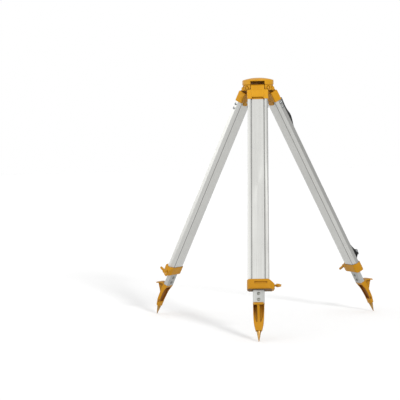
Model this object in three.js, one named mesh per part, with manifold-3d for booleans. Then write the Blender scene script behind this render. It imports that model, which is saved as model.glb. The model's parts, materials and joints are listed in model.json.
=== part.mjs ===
// Surveyor's tripod with a domed head and three telescopic aluminium legs, in millimetres, +Z up.
// The head casting carries three leg hinges and, below it, the centring screw on a swinging arm.
// A leg is a top fitting, an upper extrusion with a clamp at its lower end, and a sliding tube that
// ends in a cast foot with a tread and a steel spike. The carrying strap lies on the right leg.
// Every leg is drawn in its own frame: the hinge is the origin, x runs across the leg, -y faces
// outward and -z runs down the leg. The finished tripod stands with its box centred on the origin.
import * as THREE from "three";
import { mergeVertices } from "three/addons/utils/BufferGeometryUtils.js";
import Module from "manifold-3d";

const wasm = await Module();
wasm.setup();

// ---- driving dimensions ----
const GAP = 0.3; // air left between two separate pieces
const RUNNING = 0.08; // radial clearance of a pin that turns in its bore
const SPREAD = 27.7; // degrees each leg leans out from the vertical
const LEGS = { front: 0, right: 120, left: 240 }; // turn about the tripod's axis, degrees
const HINGE_RADIUS = 42; // leg hinge to the tripod's axis

const head = {
  rimRadius: 62,
  rimTop: 32.5, // heights in the head are measured from the hinge axis
  domeRise: 10.4,
  domeRadius: 190,
  holeRadius: 20,
  lowerRadius: 60,
  bottom: -8.5,
  seam: 12.9,
  slotCeiling: 27,
  slotHalf: 28,
  pocketStart: 38.5,
  pocketRadius: 9.6,
};
const bolt = { radius: 5, headRadius: 8.6, headLength: 5.6, nutRadius: 8.8 };

const top = {
  barrelRadius: 15.5,
  barrelHalf: 26.5,
  half: 41.5,
  shoulder: 14,
  bottom: 57,
  inner: 14.5,
  outer: 17,
  plugEnd: 100,
};
const topScrew = { radius: 2.6, headRadius: 5.2, headLength: 2.6, offset: 8, at: [70, 88] };

const tube = { start: 57.3, end: 838, half: 39.5, inner: 12.5, rail: 15.5, web: 12.5 };
const slide = { start: 124, end: 905.7, half: 21.2, depth: 10, wall: 2, corner: 2.6 };
const bore = { half: 21.7, depth: 10.5 }; // the sliding tube's guide in the upper extrusion
const clamp = { start: 815, end: 853.5, left: -42.5, boss: 58.8, inner: 15.2, outer: 24.2, axis: 834 };
const wing = { shaft: 4, hubRadius: 7, hubStart: 64.5, hubEnd: 77.5, reach: 24, thick: 5.2 };
const WING_TURN = { front: 27, right: -14, left: -25 }; // degrees each wing rests from square
const pad = { start: 21.6, end: 26.6, half: 6.6 };
const foot = { start: 906, plugStart: 856, half: 20.8 };
const footPin = { radius: 3, headRadius: 6, headLength: 2, at: [868.5, 891] };
const spike = { root: [1004, 3.2], tip: [1048.4, -3], shank: 4.4, collar: 8.3, point: 1.3 };

const arm = { pivotY: 44, top: -8.8, thick: 3, pivotRadius: 4, headHalf: 14, slotHalf: 9.3, travel: 8 };
const screw = { threadRadius: 7.94, top: 38, threadEnd: 4, flange: -3.4, shaft: 6.4, shaftEnd: -40 };
const knob = { top: -36, bottom: -62, radius: 14.5 };
const strap = { half: 19, thick: 2 };

// ---- materials ----
const paint = (colour, metalness, roughness) =>
  new THREE.MeshStandardMaterial({ color: colour, metalness, roughness });
const look = {
  casting: paint(0xd8962a, 0.1, 0.45),
  aluminium: paint(0xc9cac6, 0.85, 0.4),
  steel: paint(0x8d8f90, 0.9, 0.35),
  brass: paint(0xb8924a, 0.9, 0.35),
  plastic: paint(0x1b1b1c, 0.0, 0.55),
  webbing: paint(0x17181a, 0.0, 0.9),
};

// ---- solids ----
const rad = THREE.MathUtils.degToRad;

// Turns a closed three.js geometry into a manifold solid, facing out whichever way it was drawn.
function solid(geometry) {
  const plain = geometry.index ? geometry.toNonIndexed() : geometry.clone();
  plain.deleteAttribute("normal");
  plain.deleteAttribute("uv");
  const merged = mergeVertices(plain, 1e-4);
  const build = (flip) => {
    const triVerts = new Uint32Array(merged.index.array);
    for (let i = 0; flip && i < triVerts.length; i += 3) {
      [triVerts[i + 1], triVerts[i + 2]] = [triVerts[i + 2], triVerts[i + 1]];
    }
    return new wasm.Manifold(
      new wasm.Mesh({ numProp: 3, vertProperties: merged.attributes.position.array, triVerts }),
    );
  };
  const made = build(false);
  return made.volume() < 0 ? build(true) : made;
}

function geometryOf(shape) {
  const mesh = shape.getMesh();
  const geometry = new THREE.BufferGeometry();
  const count = mesh.numVert;
  const xyz = new Float32Array(count * 3);
  for (let i = 0; i < count; i++) {
    xyz.set(mesh.vertProperties.subarray(i * mesh.numProp, i * mesh.numProp + 3), i * 3);
  }
  geometry.setAttribute("position", new THREE.BufferAttribute(xyz, 3));
  geometry.setIndex(new THREE.BufferAttribute(mesh.triVerts, 1));
  return geometry;
}

const union = (...parts) => parts.reduce((a, b) => a.add(b));
const cut = (body, ...tools) => tools.reduce((a, b) => a.subtract(b), body);

function outline(points) {
  return points.map(([x, y]) => new THREE.Vector2(x, y));
}

// A flat outline drawn in x and y and extruded from z0 to z1.
function extrude(points, z0, z1) {
  const shape = new THREE.Shape(outline(points));
  const geometry = new THREE.ExtrudeGeometry(shape, { depth: z1 - z0, bevelEnabled: false });
  return geometry.translate(0, 0, z0);
}

// An outline across the leg (x, outward) carried down the leg from s0 to s1.
function downLeg(points, s0, s1) {
  return solid(extrude(points.map(([x, out]) => [x, -out]), -s1, -s0));
}

// An outline seen from the side of the leg (outward, down) carried across it from x0 to x1.
function acrossLeg(points, x0, x1) {
  const swap = new THREE.Matrix4().set(0, 0, 1, 0, -1, 0, 0, 0, 0, -1, 0, 0, 0, 0, 0, 1);
  return solid(extrude(points, x0, x1).applyMatrix4(swap));
}

// An outline seen from in front of the leg (x, down) carried through it, outward from v0 to v1.
function throughLeg(points, v0, v1) {
  const swap = new THREE.Matrix4().set(1, 0, 0, 0, 0, 0, -1, 0, 0, -1, 0, 0, 0, 0, 0, 1);
  return solid(extrude(points, v0, v1).applyMatrix4(swap));
}

function rectangle(x0, x1, y0, y1, r = 0, steps = 3) {
  if (!r) {
    return [[x0, y0], [x1, y0], [x1, y1], [x0, y1]];
  }
  const corners = [[x1 - r, y0 + r, -90], [x1 - r, y1 - r, 0], [x0 + r, y1 - r, 90], [x0 + r, y0 + r, 180]];
  const points = [];
  for (const [cx, cy, start] of corners) {
    for (let i = 0; i <= steps; i++) {
      const a = rad(start + (90 * i) / steps);
      points.push([cx + r * Math.cos(a), cy + r * Math.sin(a)]);
    }
  }
  return points;
}

// A round bar between two points.
function rod(from, to, r0, r1 = r0, segments = 24) {
  const a = new THREE.Vector3(...from);
  const b = new THREE.Vector3(...to);
  const length = a.distanceTo(b);
  const geometry = new THREE.CylinderGeometry(r1, r0, length, segments);
  geometry.translate(0, length / 2, 0);
  const turn = new THREE.Quaternion().setFromUnitVectors(
    new THREE.Vector3(0, 1, 0),
    b.clone().sub(a).normalize(),
  );
  geometry.applyQuaternion(turn);
  return solid(geometry.translate(...from));
}

// A solid of revolution about z, from a closed outline of (radius, height) points.
function turned(points, segments = 48) {
  const closed = [...points, points[0]].map(([r, z]) => new THREE.Vector2(r, z));
  const geometry = new THREE.LatheGeometry(closed, segments);
  geometry.rotateX(Math.PI / 2);
  return solid(geometry);
}

// A band of constant thickness along a path of (outward, down) points, carried across the leg.
function band(path, thick, x0, x1) {
  const side = (sign) =>
    path.map(([v, s], i) => {
      const [va, sa] = path[Math.max(i - 1, 0)];
      const [vb, sb] = path[Math.min(i + 1, path.length - 1)];
      const length = Math.hypot(vb - va, sb - sa);
      return [v + (sign * thick * (sb - sa)) / length / 2, s - (sign * thick * (vb - va)) / length / 2];
    });
  return acrossLeg([...side(1), ...side(-1).reverse()], x0, x1);
}

// Points of a smooth curve through the given ones.
function smooth(points, steps) {
  const curve = new THREE.CatmullRomCurve3(points.map(([v, s]) => new THREE.Vector3(v, s, 0)));
  return curve.getPoints(steps).map((p) => [p.x, p.y]);
}

function mesh(name, shape, material) {
  const made = new THREE.Mesh(geometryOf(shape), material);
  made.name = name;
  return made;
}

function turnedAbout(shape, degrees) {
  return shape.rotate([0, 0, degrees]);
}

// ---- head ----
function headCasting() {
  const h = head;
  const dome = [];
  for (let i = 0; i <= 6; i++) {
    const r = h.rimRadius - 1.2 - ((h.rimRadius - 1.2 - h.holeRadius - 1) * i) / 6;
    dome.push([r, h.rimTop + h.domeRise - (r * r) / (2 * h.domeRadius)]);
  }
  const holeEdge = dome[dome.length - 1][1];
  const blank = turned(
    [
      [h.holeRadius, h.bottom],
      [h.lowerRadius - 5, h.bottom],
      [h.lowerRadius - 1.6, h.bottom + 1.6],
      [h.lowerRadius, h.bottom + 5],
      [h.lowerRadius, h.seam - 1.2],
      [h.lowerRadius - 1.6, h.seam - 0.6],
      [h.lowerRadius - 1.6, h.seam + 0.6],
      [h.rimRadius, h.seam + 1.4],
      [h.rimRadius, h.rimTop - 1.6],
      [h.rimRadius - 0.4, h.rimTop - 0.4],
      ...dome,
      [h.holeRadius, holeEdge - 1],
    ],
    54,
  );
  const tools = [
    turned([[0, 20], [30, 20], [30, 27.5], [26, 33.5], [0, 33.5]], 36), // hollow under the dome
    rod([0, arm.pivotY, h.bottom - 1], [0, arm.pivotY, 6], arm.pivotRadius + RUNNING),
  ];
  for (const turn of Object.values(LEGS)) {
    const slot = solid(extrude(rectangle(-h.slotHalf, h.slotHalf, -80, 0), h.bottom - 1, h.slotCeiling));
    tools.push(turnedAbout(slot, turn));
    const hole = rod([-70, -HINGE_RADIUS, 0], [70, -HINGE_RADIUS, 0], bolt.radius + RUNNING);
    tools.push(turnedAbout(hole, turn));
    for (const side of [-1, 1]) {
      const pocket = rod(
        [side * h.pocketStart, -HINGE_RADIUS, 0],
        [side * 70, -HINGE_RADIUS, 0],
        h.pocketRadius,
      );
      tools.push(turnedAbout(pocket, turn));
    }
  }
  return cut(blank, ...tools);
}

function hexagon(radius, x0, x1) {
  return rod([x0, -HINGE_RADIUS, 0], [x1, -HINGE_RADIUS, 0], radius, radius, 6);
}

function hingeBolt() {
  const start = head.pocketStart + GAP;
  const shaft = rod([-start - 6.5, -HINGE_RADIUS, 0], [start + 1, -HINGE_RADIUS, 0], bolt.radius);
  return union(shaft, hexagon(bolt.headRadius, start, start + bolt.headLength));
}

function hingeNut() {
  const start = head.pocketStart + GAP;
  const hole = rod([-start - 9, -HINGE_RADIUS, 0], [-start + 1, -HINGE_RADIUS, 0], bolt.radius + GAP);
  return cut(hexagon(bolt.nutRadius, -start - bolt.headLength, -start), hole);
}

// ---- centring screw under the head ----
function centringArm() {
  const low = arm.top - arm.thick;
  const neck = solid(extrude(rectangle(-8, 8, 10, arm.pivotY), low, arm.top));
  const eye = rod([0, arm.pivotY, low], [0, arm.pivotY, arm.top], 8, 8, 32);
  const table = solid(extrude(rectangle(-arm.headHalf, arm.headHalf, -19, 19, 12, 6), low, arm.top));
  const slotEnd = arm.travel + arm.slotHalf;
  const slot = rectangle(-arm.slotHalf, arm.slotHalf, -slotEnd, slotEnd, arm.slotHalf - 0.01, 8);
  return cut(
    union(neck, eye, table),
    solid(extrude(slot, low - 1, arm.top + 1)),
    rod([0, arm.pivotY, low - 1], [0, arm.pivotY, arm.top + 1], arm.pivotRadius + RUNNING),
  );
}

function armPivot() {
  const low = arm.top - arm.thick - GAP;
  return union(
    rod([0, arm.pivotY, low - 1], [0, arm.pivotY, 5.5], arm.pivotRadius),
    rod([0, arm.pivotY, low - 3.2], [0, arm.pivotY, low], 6.2, 7),
  );
}

function carriage() {
  const low = arm.top - arm.thick;
  return turned([
    [screw.shaft + RUNNING, low - 2.3],
    [11, low - 2.3],
    [11, low - GAP],
    [arm.slotHalf - 0.4, low - GAP],
    [arm.slotHalf - 0.4, arm.top + GAP],
    [12, arm.top + GAP],
    [12, arm.top + 2.2],
    [screw.shaft + RUNNING, arm.top + 2.2],
  ], 24);
}

function centringScrew() {
  const r = screw.threadRadius;
  const flangeLow = arm.top + 2.2 + GAP;
  return turned([
    [0, screw.shaftEnd],
    [screw.shaft, screw.shaftEnd],
    [screw.shaft, flangeLow],
    [13, flangeLow],
    [13, screw.flange],
    [r - 1.4, screw.flange],
    [r - 1.4, screw.threadEnd],
    [r, screw.threadEnd + 1.4],
    [r, screw.top - 1.6],
    [r - 1.8, screw.top],
    [0, screw.top],
  ], 24);
}

function cupWasher() {
  const low = screw.flange + GAP;
  const hole = screw.threadRadius + 0.25;
  return turned([[hole, low], [12, low], [15.5, low + 3.4], [15.5, low + 5], [13.5, low + 5], [hole, low + 2.6]], 24);
}

function screwKnob() {
  const ribs = [];
  for (let i = 0; i < 48; i++) {
    const a = (i / 48) * 2 * Math.PI;
    const r = knob.radius - (i % 4 < 2 ? 0 : 1.3);
    ribs.push([r * Math.cos(a), r * Math.sin(a)]);
  }
  const grip = solid(extrude(ribs, knob.bottom, knob.top));
  const collar = rod([0, 0, knob.top - 1], [0, 0, knob.top + 5], 10, 9, 32);
  const hole = rod([0, 0, screw.shaftEnd - GAP], [0, 0, knob.top + 6], screw.shaft + GAP);
  const socket = rod([0, 0, knob.bottom - 1], [0, 0, knob.bottom + 8], 2 + GAP);
  return cut(union(grip, collar), hole, socket);
}

function plumbHook() {
  const points = [];
  for (let a = 90; a >= -150; a -= 30) {
    points.push(new THREE.Vector3(5 * Math.cos(rad(a)), 0, -8.5 + 5 * Math.sin(rad(a))));
  }
  const path = new THREE.CatmullRomCurve3(points);
  const ring = tubeAlong(path, 1.4, 12, 8);
  const stem = rod([0, 0, -4.5], [0, 0, 7], 2, 2, 12);
  return union(ring, stem).translate([0, 0, knob.bottom]);
}

// A round wire along a curve, closed at both ends.
function tubeAlong(path, radius, steps, sides = 10) {
  const frames = path.computeFrenetFrames(steps, false);
  const xyz = [];
  const index = [];
  for (let i = 0; i <= steps; i++) {
    const p = path.getPointAt(i / steps);
    for (let j = 0; j < sides; j++) {
      const a = (j / sides) * 2 * Math.PI;
      const q = p
        .clone()
        .addScaledVector(frames.normals[i], radius * Math.cos(a))
        .addScaledVector(frames.binormals[i], radius * Math.sin(a));
      xyz.push(q.x, q.y, q.z);
      if (i < steps) {
        const here = i * sides + j;
        const next = i * sides + ((j + 1) % sides);
        index.push(here, next, here + sides, next, next + sides, here + sides);
      }
    }
  }
  for (let j = 1; j < sides - 1; j++) {
    index.push(0, j + 1, j, steps * sides, steps * sides + j, steps * sides + j + 1);
  }
  const geometry = new THREE.BufferGeometry();
  geometry.setAttribute("position", new THREE.BufferAttribute(new Float32Array(xyz), 3));
  geometry.setIndex(index);
  return solid(geometry);
}

// ---- leg pieces ----
// Outer section of the upper extrusion: two proud rails outside, a narrower flat face inside.
function tubeOutline(grow = 0) {
  const g = grow;
  const side = [
    [22.6, tube.web + g],
    [23.6 + g, tube.web - 2.4 + g],
    [26.2 - g, tube.web - 2.4 + g],
    [27.2 - g, tube.rail + g],
    [36.7, tube.rail + g],
    [tube.half - 0.9 + g, tube.rail - 1 + g],
    [tube.half + g, tube.rail - 3 + g],
    [tube.half + g, 1 - g],
    [tube.half - 2 + g, -1 - g],
    [31.2 + g, -10.6 - g],
    [29.6 + g, -12 - g],
    [27.8, -tube.inner - g],
  ];
  const mirrored = side.map(([x, v]) => [-x, v]).reverse();
  return [...side, ...mirrored];
}

function legTube() {
  const chamber = [
    [23.3, 8.6], [28.8, 8.6], [28.8, 13.8], [37, 13.8], [37.9, 12.6], [37.9, 1.2], [29.6, -9.4], [27.6, -10.9], [23.3, -10.9],
  ];
  const holes = [
    rectangle(-bore.half, bore.half, -bore.depth, bore.depth, 1.6, 2),
    chamber,
    chamber.map(([x, v]) => [-x, v]).reverse(),
  ];
  const drawn = downLeg(tubeOutline(), tube.start, tube.end);
  const drills = topScrew.at.map((s) =>
    rod([-60, -topScrew.offset, -s], [60, -topScrew.offset, -s], topScrew.radius + GAP, undefined, 10),
  );
  const channels = holes.map((hole) => downLeg(hole, tube.start - 1, tube.end + 1));
  const padHalf = pad.half + 1;
  const notch = acrossLeg(rectangle(-padHalf, padHalf, clamp.axis - padHalf, tube.end + 1), 19, tube.half + 1);
  return cut(drawn, ...channels, ...drills, notch);
}

function legTop() {
  const t = top;
  const barrel = rod([-t.barrelHalf, 0, 0], [t.barrelHalf, 0, 0], t.barrelRadius, undefined, 40);
  const neck = acrossLeg([[-12, 0], [15.2, 0], [t.outer, t.shoulder + 4], [-t.inner, t.shoulder + 4]], -t.barrelHalf, t.barrelHalf);
  const side = acrossLeg(
    [
      [-t.inner, t.shoulder + 2],
      [-t.inner + 2, t.shoulder],
      [t.outer - 3, t.shoulder],
      [t.outer, t.shoulder + 3],
      [t.outer, t.bottom],
      [-t.inner, t.bottom],
    ],
    -t.half,
    t.half,
  );
  const plan = downLeg(rectangle(-t.half, t.half, -t.inner, t.outer, 4, 3), 0, t.bottom);
  const face = throughLeg(
    [[-t.half + 3, t.shoulder], [t.half - 3, t.shoulder], [t.half, t.shoulder + 4], [t.half, t.bottom], [-t.half, t.bottom], [-t.half, t.shoulder + 4]],
    -30,
    30,
  );
  const raised = throughLeg(
    [[-25, 17], [25, 17], [25, 44], [20, 50], [-20, 50], [-25, 44]],
    t.outer - 2,
    t.outer + 2.4,
  );
  const plug = downLeg(rectangle(-bore.half + GAP, bore.half - GAP, -bore.depth + GAP, bore.depth - GAP, 1.6, 2), t.bottom - 1, t.plugEnd);
  const tongue = throughLeg(rectangle(-21, 21, t.bottom - 6, t.bottom + 12, 9, 4), -t.inner - 0.6, -tube.inner - GAP);
  const shadowGap = throughLeg(rectangle(-23, 23, 50, t.bottom + 1), t.outer - 6.4, t.outer + 4);
  const bores = topScrew.at.map((s) =>
    rod([-60, -topScrew.offset, -s], [60, -topScrew.offset, -s], topScrew.radius + GAP, undefined, 10),
  );
  const pockets = [
    downLeg(rectangle(-16, 16, -3.5, 7.5), 26, t.plugEnd + 1), // the casting is hollow from below
    downLeg(rectangle(23.5, 37.5, -10.5, 13), 21, t.bottom + 1),
    downLeg(rectangle(-37.5, -23.5, -10.5, 13), 21, t.bottom + 1),
  ];
  return cut(
    union(barrel, neck, side.intersect(plan).intersect(face), raised, plug, tongue),
    ...pockets,
    rod([-60, 0, 0], [60, 0, 0], bolt.radius + RUNNING),
    shadowGap,
    ...bores,
  );
}

function topScrewPiece(s) {
  const reach = tube.half + GAP;
  const y = -topScrew.offset;
  const shaft = rod([-reach - 1, y, -s], [reach + 1, y, -s], topScrew.radius, undefined, 10);
  const heads = [-1, 1].map((side) =>
    rod([side * reach, y, -s], [side * (reach + topScrew.headLength), y, -s], topScrew.headRadius, 3.4, 14),
  );
  return union(shaft, ...heads);
}

function clampHousing() {
  const c = clamp;
  const face = throughLeg(
    [
      [c.left, c.start + 2], [c.left + 2, c.start], [33, c.start], [38.5, c.start + 2], [49, c.start + 8],
      [56.5, c.start + 14], [c.boss, c.start + 18], [c.boss, c.end - 9], [56, c.end - 4], [48, c.end],
      [c.left + 2, c.end], [c.left, c.end - 2],
    ],
    -40,
    40,
  );
  const plan = downLeg(
    [
      [-27, c.outer], [38, c.outer], [44, c.outer - 2.4], [50.5, c.outer - 9], [56.5, 11.5], [c.boss, 8], [c.boss, -8],
      [56.5, -10.5], [44, -11.5], [40.5, -13.4], [36, -c.inner], [-29, -c.inner], [-34.5, -c.inner + 2.2],
      [c.left, -0.5], [c.left, 10], [-40.6, 15.4], [-35.5, 20.6], [-31.5, 23.2],
    ],
    c.start - 10,
    c.end + 10,
  );
  const side = acrossLeg(
    [
      [-c.inner, c.start + 1], [-c.inner + 1, c.start], [c.outer - 3, c.start], [c.outer - 0.8, c.start + 0.9],
      [c.outer, c.start + 3], [c.outer, c.end - 5], [c.outer - 2, c.end - 1.5], [c.outer - 5, c.end],
      [-c.inner + 5, c.end], [-c.inner, c.end - 5],
    ],
    -80,
    80,
  );
  const recess = throughLeg(rectangle(-15, 32, c.start + 10.5, c.start + 18.5, 2.5, 3), c.outer - 4, c.outer + 5);
  return cut(
    face.intersect(plan).intersect(side),
    recess,
    downLeg(tubeOutline(GAP), c.start - 5, tube.end + GAP),
    downLeg(rectangle(-bore.half, bore.half, -bore.depth, bore.depth), c.start, c.end + 5),
    acrossLeg(rectangle(-pad.half - GAP, pad.half + GAP, c.axis - pad.half - 1, c.axis + pad.half + 1), 19, pad.end + 4),
    rod([20, 0, -c.axis], [80, 0, -c.axis], wing.shaft + GAP),
  );
}

function wingScrew(turn) {
  const w = wing;
  const z = -clamp.axis;
  const shaft = rod([pad.end + GAP, 0, z], [w.hubStart + 1, 0, z], w.shaft);
  const hub = rod([w.hubStart, 0, z], [w.hubEnd, 0, z], w.hubRadius, w.hubRadius - 1, 24);
  const lobe = [
    [w.hubStart + 1.5, 0], [w.hubStart + 2.5, 9], [w.hubStart + 4.5, 16], [w.hubStart + 8, w.reach - 2.4], [w.hubStart + 12.5, w.reach],
    [w.hubStart + 16.4, w.reach - 1.6], [w.hubStart + 18.2, w.reach - 5.4], [w.hubStart + 17.6, 13], [w.hubStart + 15, 7], [w.hubEnd - 1, 0],
  ];
  const both = [...lobe, ...lobe.slice(1, -1).reverse().map(([x, r]) => [x, -r])];
  const plate = solid(extrude(both, -w.thick / 2, w.thick / 2)).translate([0, 0, z]);
  const made = union(shaft, hub, plate);
  return made.translate([0, 0, -z]).rotate([turn, 0, 0]).translate([0, 0, z]);
}

function clampPad() {
  const p = pad;
  return acrossLeg(rectangle(-p.half, p.half, clamp.axis - p.half, clamp.axis + p.half, 1.2, 2), p.start, p.end);
}

function slideTube() {
  const t = slide;
  const inside = rectangle(-t.half + t.wall, t.half - t.wall, -t.depth + t.wall, t.depth - t.wall);
  const drawn = downLeg(rectangle(-t.half, t.half, -t.depth, t.depth, t.corner, 3), t.start, t.end);
  const channel = downLeg(inside, t.start - 1, t.end + 1);
  const drills = footPin.at.map((s) => rod([0, -30, -s], [0, 30, -s], footPin.radius + GAP, undefined, 12));
  return cut(drawn, channel, ...drills);
}

function slideGuide() {
  const t = slide;
  const inset = t.wall + GAP;
  return union(
    downLeg(rectangle(-t.half - 0.2, t.half + 0.2, -t.depth - 0.2, t.depth + 0.2, 2, 3), t.start - 12, t.start - GAP),
    downLeg(rectangle(-t.half + inset, t.half - inset, -t.depth + inset, t.depth - inset), t.start - 1, t.start + 16),
  );
}

function footPinPiece(s) {
  const reach = slide.depth + GAP;
  const heads = [-1, 1].map((side) =>
    rod([0, side * reach, -s], [0, side * (reach + footPin.headLength), -s], footPin.headRadius, 4.6, 18),
  );
  return union(rod([0, -reach - 1, -s], [0, reach + 1, -s], footPin.radius, undefined, 12), ...heads);
}

function footCasting() {
  const f = foot;
  const sole = spike.root[0] + 6;
  const body = acrossLeg(
    smooth([[13, f.start], [13.6, 925], [13.2, 950], [12.9, 978], [11.2, 996]], 9)
      .concat([[9.8, sole], [-4.6, sole]])
      .concat(smooth([[-2.8, 1000], [-0.4, 984], [-0.8, 955], [-3, 934], [-7.5, 918], [-10, f.start]], 8)),
    -f.half,
    f.half,
  );
  const face = throughLeg(
    smooth([[f.half, f.start - 1], [f.half - 0.5, 930], [f.half - 1.6, 965], [17.4, 985], [11.4, sole + 1]], 9)
      .concat(smooth([[-11.4, sole + 1], [-17.4, 985], [-f.half + 1.6, 965], [-f.half + 0.5, 930], [-f.half, f.start - 1]], 9)),
    -40,
    60,
  );
  const treadSide = acrossLeg(
    smooth([[11, f.start], [24, f.start + 0.6], [35, 910.5], [46, 917], [53, 923]], 7)
      .concat([[54, 925.2], [52.6, 926.8]])
      .concat(smooth([[49, 926], [40, 920], [30, 914.4], [20, 911.6], [11, 911.6]], 6)),
    -30,
    30,
  );
  const treadPlan = downLeg(
    [[-18.6, 5], [18.6, 5], [18.6, 40], [15, 49], [8, 55], [-8, 55], [-15, 49], [-18.6, 40]],
    f.start - 5,
    940,
  );
  const rib = acrossLeg(
    smooth([[47, 923.5], [40, 931], [29.5, 944], [21, 955], [15.5, 967], [12, 982]], 8)
      .concat([[8, 982], [8, 906], [22, 908], [36, 914]]),
    -4.5,
    4.5,
  );
  const recesses = [-1, 1].map((side) =>
    throughLeg(
      [[side * 5.5, 912.5], [side * 17.4, 912.5], [side * 17, 940], [side * 14, 962], [side * 8, 978], [side * 5.5, 978]],
      8.6,
      30,
    ),
  );
  const hollow = throughLeg(
    smooth([[18.2, 917], [17.8, 945], [15.8, 970], [10.5, 989]], 5)
      .concat(smooth([[-10.5, 989], [-15.8, 970], [-17.8, 945], [-18.2, 917]], 5)),
    -20,
    5.4,
  );
  const inset = slide.wall + GAP;
  const plug = downLeg(
    rectangle(-slide.half + inset, slide.half - inset, -slide.depth + inset, slide.depth - inset),
    f.plugStart,
    f.start + 3,
  );
  const bores = footPin.at.map((s) => rod([0, -30, -s], [0, 30, -s], footPin.radius + GAP, undefined, 12));
  const shell = cut(body.intersect(face), hollow, ...recesses);
  return cut(union(shell, treadSide.intersect(treadPlan), rib, plug), spikeBore(), ...bores);
}

// The spike leans towards the vertical: its own line runs from its root to its tip.
function alongSpike(distance) {
  const [[rootS, rootV], [tipS, tipV]] = [spike.root, spike.tip];
  const length = Math.hypot(tipS - rootS, tipV - rootV);
  const t = distance / length;
  return [0, -(rootV + (tipV - rootV) * t), -(rootS + (tipS - rootS) * t)];
}

function spikeBore() {
  return rod(alongSpike(-12), alongSpike(12), spike.shank + GAP);
}

function spikePiece() {
  const end = Math.hypot(spike.tip[0] - spike.root[0], spike.tip[1] - spike.root[1]);
  return union(
    rod(alongSpike(-11.5), alongSpike(9), spike.shank),
    rod(alongSpike(8), alongSpike(11.5), spike.collar),
    rod(alongSpike(11.4), alongSpike(end), spike.collar - 0.8, spike.point),
  );
}

// ---- carrying strap, on the outer face of the right leg ----
const strapPath = [
  ...smooth([[30.4, 61.4], [29.8, 76], [28.8, 94], [30, 112], [33.8, 132], [32, 152], [26, 176]], 12),
  ...smooth([[20.4, 198], [17.6, 212], [tube.rail + 1.6, 226]], 3),
  ...smooth([[tube.rail + 1.6, 694], [18.4, 716], [23.4, 736], [27.2, 752]], 6),
  [33, 768],
  [35.4, 780],
  [34.4, 792],
  [26.4, 801.8],
];

function strapWebbing() {
  return band(strapPath, strap.thick, -strap.half, strap.half);
}

function strapBuckle() {
  const frame = acrossLeg(rectangle(29.6, 41, 769, 794, 3, 2), -23, 23);
  const slot = band(strapPath, strap.thick + 2 * GAP, -strap.half - 0.6, strap.half + 0.6);
  return cut(frame, slot);
}

// Wire loop that holds an end of the strap, with its foot plate on the leg's outer face.
function strapLoop(s, reachV, reachS, plateHalf) {
  const half = strap.half + 3;
  const footV = tube.rail + 1.5;
  const midV = (footV + reachV) / 2;
  const midS = (s + reachS) / 2;
  const left = [[-half, footV, s], [-half, midV, midS], [-half, reachV - 1, reachS - 1], [3 - half, reachV, reachS]];
  const right = left.map(([x, v, d]) => [-x, v, d]).reverse();
  const points = [...left, [0, reachV, reachS], ...right].map(([x, v, d]) => new THREE.Vector3(x, -v, -d));
  const wire = tubeAlong(new THREE.CatmullRomCurve3(points, false, "centripetal"), 1.6, 18, 6);
  const plate = throughLeg(rectangle(-half - 3, half + 3, s - plateHalf, s + plateHalf, 2, 2), footV - 1.2, footV + 1.6);
  return union(wire, plate);
}

// ---- the whole tripod ----
function legMeshes(name) {
  const pieces = [
    mesh("leg_top_" + name, legTop(), look.casting),
    mesh("leg_tube_" + name, legTube(), look.aluminium),
    mesh("clamp_" + name, clampHousing(), look.casting),
    mesh("wing_screw_" + name, wingScrew(WING_TURN[name]), look.casting),
    mesh("clamp_pad_" + name, clampPad(), look.brass),
    mesh("slide_tube_" + name, slideTube(), look.aluminium),
    mesh("slide_guide_" + name, slideGuide(), look.plastic),
    mesh("foot_" + name, footCasting(), look.casting),
    mesh("spike_" + name, spikePiece(), look.steel),
  ];
  topScrew.at.forEach((s, i) => {
    pieces.push(mesh("top_bolt_" + (i + 1) + "_" + name, topScrewPiece(s), look.steel));
  });
  footPin.at.forEach((s, i) => {
    pieces.push(mesh("foot_bolt_" + (i + 1) + "_" + name, footPinPiece(s), look.steel));
  });
  return pieces;
}

function strapMeshes() {
  return [
    mesh("strap_webbing", strapWebbing(), look.webbing),
    mesh("strap_buckle", strapBuckle(), look.plastic),
    mesh("strap_loop_top", strapLoop(86, 28.4, 59, 13), look.steel),
    mesh("strap_loop_bottom", strapLoop(806.5, 23, 803, 4), look.steel),
  ];
}

const root = new THREE.Group();
root.name = "surveyor_tripod";
root.add(
  mesh("head_casting", headCasting(), look.casting),
  mesh("centring_arm", centringArm(), look.steel),
  mesh("arm_pivot", armPivot(), look.steel),
  mesh("screw_carriage", carriage(), look.brass),
  mesh("cup_washer", cupWasher(), look.brass),
  mesh("centring_screw", centringScrew(), look.brass),
  mesh("screw_knob", screwKnob(), look.plastic),
  mesh("plumb_hook", plumbHook(), look.steel),
);

for (const [name, turn] of Object.entries(LEGS)) {
  const station = new THREE.Group();
  station.rotation.z = rad(turn);
  station.add(mesh("hinge_bolt_" + name, hingeBolt(), look.steel), mesh("hinge_nut_" + name, hingeNut(), look.steel));
  const leg = new THREE.Group();
  leg.position.y = -HINGE_RADIUS;
  leg.rotation.x = -rad(SPREAD);
  leg.add(...legMeshes(name));
  if (name === "right") {
    leg.add(...strapMeshes());
  }
  station.add(leg);
  root.add(station);
}

root.updateMatrixWorld(true);
const box = new THREE.Box3().setFromObject(root, true);
const middle = box.getCenter(new THREE.Vector3());
root.position.set(-middle.x, -middle.y, -box.min.z);

export default root;
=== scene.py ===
"""Looks of a surveying tripod with an orange domed head, aluminium legs and a black carrying strap.

The castings, extrusions, pads and guides of the legs and the centring arm keep their CAD nodes, with
softened or broken edges. The head, fasteners, centring screw, spikes and strap are built here in
place of theirs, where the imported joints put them. Pieces on a leg are drawn in the leg's own frame,
in millimetres: x across, v outward, s down the leg.
"""
import json
import math

import bmesh
import bpy
from mathutils import Matrix, Vector


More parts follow.
